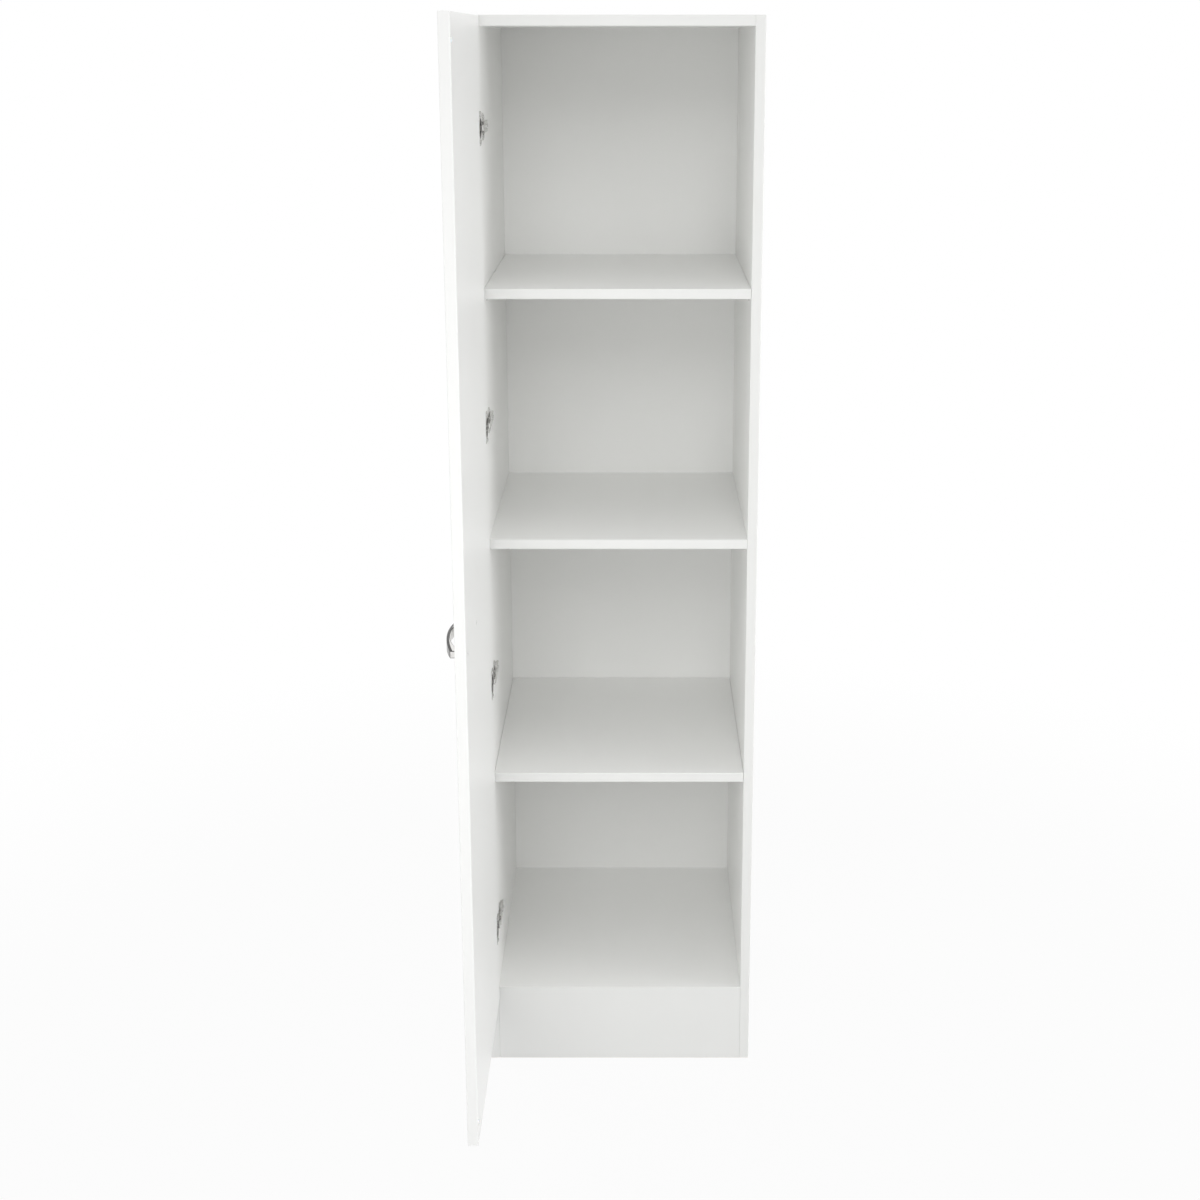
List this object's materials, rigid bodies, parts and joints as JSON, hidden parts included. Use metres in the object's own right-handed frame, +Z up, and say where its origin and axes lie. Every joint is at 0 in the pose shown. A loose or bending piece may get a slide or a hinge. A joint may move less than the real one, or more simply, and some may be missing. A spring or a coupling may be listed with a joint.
{
  "type": "broom cupboard",
  "caption": "Tall narrow white cupboard with a full-height plinth board, open shelves inside and one full-height slab door on cup hinges with an arched bow handle, shown open at a right angle.",
  "frame": {"origin": "middle of the plinth board's underside, on the floor", "axes": "+X to the right as seen from the front, +Y towards the back, +Z up; the door is stored a quarter turn open"},
  "size_m": [0.5205, 1.0536, 1.95],
  "materials": {
    "carcass_board": "white melamine-faced chipboard, fine satin",
    "door_board": "white foil-wrapped board, satin",
    "back_board": "white-lacquered thin hardboard, matt",
    "handle_metal": "antique nickel, worn on the high edges",
    "hinge_steel": "nickel-plated pressed steel",
    "screw_steel": "zinc-plated steel",
    "cam_zinc": "bare zinc casting",
    "dowel_beech": "raw beech",
    "buffer_rubber": "clear soft plastic"
  },
  "bodies": {
    "carcass": {"side_panel_left": "carcass_board", "side_panel_right": "carcass_board", "top_panel": "carcass_board", "bottom_panel": "carcass_board", "plinth_board": "carcass_board", "back_panel": "back_board", "shelf_lower": "carcass_board", "shelf_middle": "carcass_board", "shelf_upper": "carcass_board", "cam_locks": "cam_zinc", "cam_bolts": "screw_steel", "dowels": "dowel_beech", "back_nails": "screw_steel", "shelf_pins": "screw_steel", "plate_screws": "screw_steel", "arm_screws": "screw_steel", "hinge_plate_top": "hinge_steel", "hinge_plate_upper": "hinge_steel", "hinge_plate_lower": "hinge_steel", "hinge_plate_bottom": "hinge_steel", "hinge_arm_top": "hinge_steel", "hinge_arm_upper": "hinge_steel", "hinge_arm_lower": "hinge_steel", "hinge_arm_bottom": "hinge_steel"},
    "door": {"door_panel": "door_board", "handle": "handle_metal", "handle_screws": "screw_steel", "door_buffers": "buffer_rubber", "hinge_pins": "hinge_steel", "cup_screws": "screw_steel", "hinge_cup_top": "hinge_steel", "hinge_cup_upper": "hinge_steel", "hinge_cup_lower": "hinge_steel", "hinge_cup_bottom": "hinge_steel"}
  },
  "joints": [
    {"name": "door_hinge", "type": "hinge", "parent": "carcass", "child": "door", "pos_m": [-0.2413, -0.0228, 0.975], "axis": [0, 0, 1], "range_deg": [-5, 90]}
  ]
}
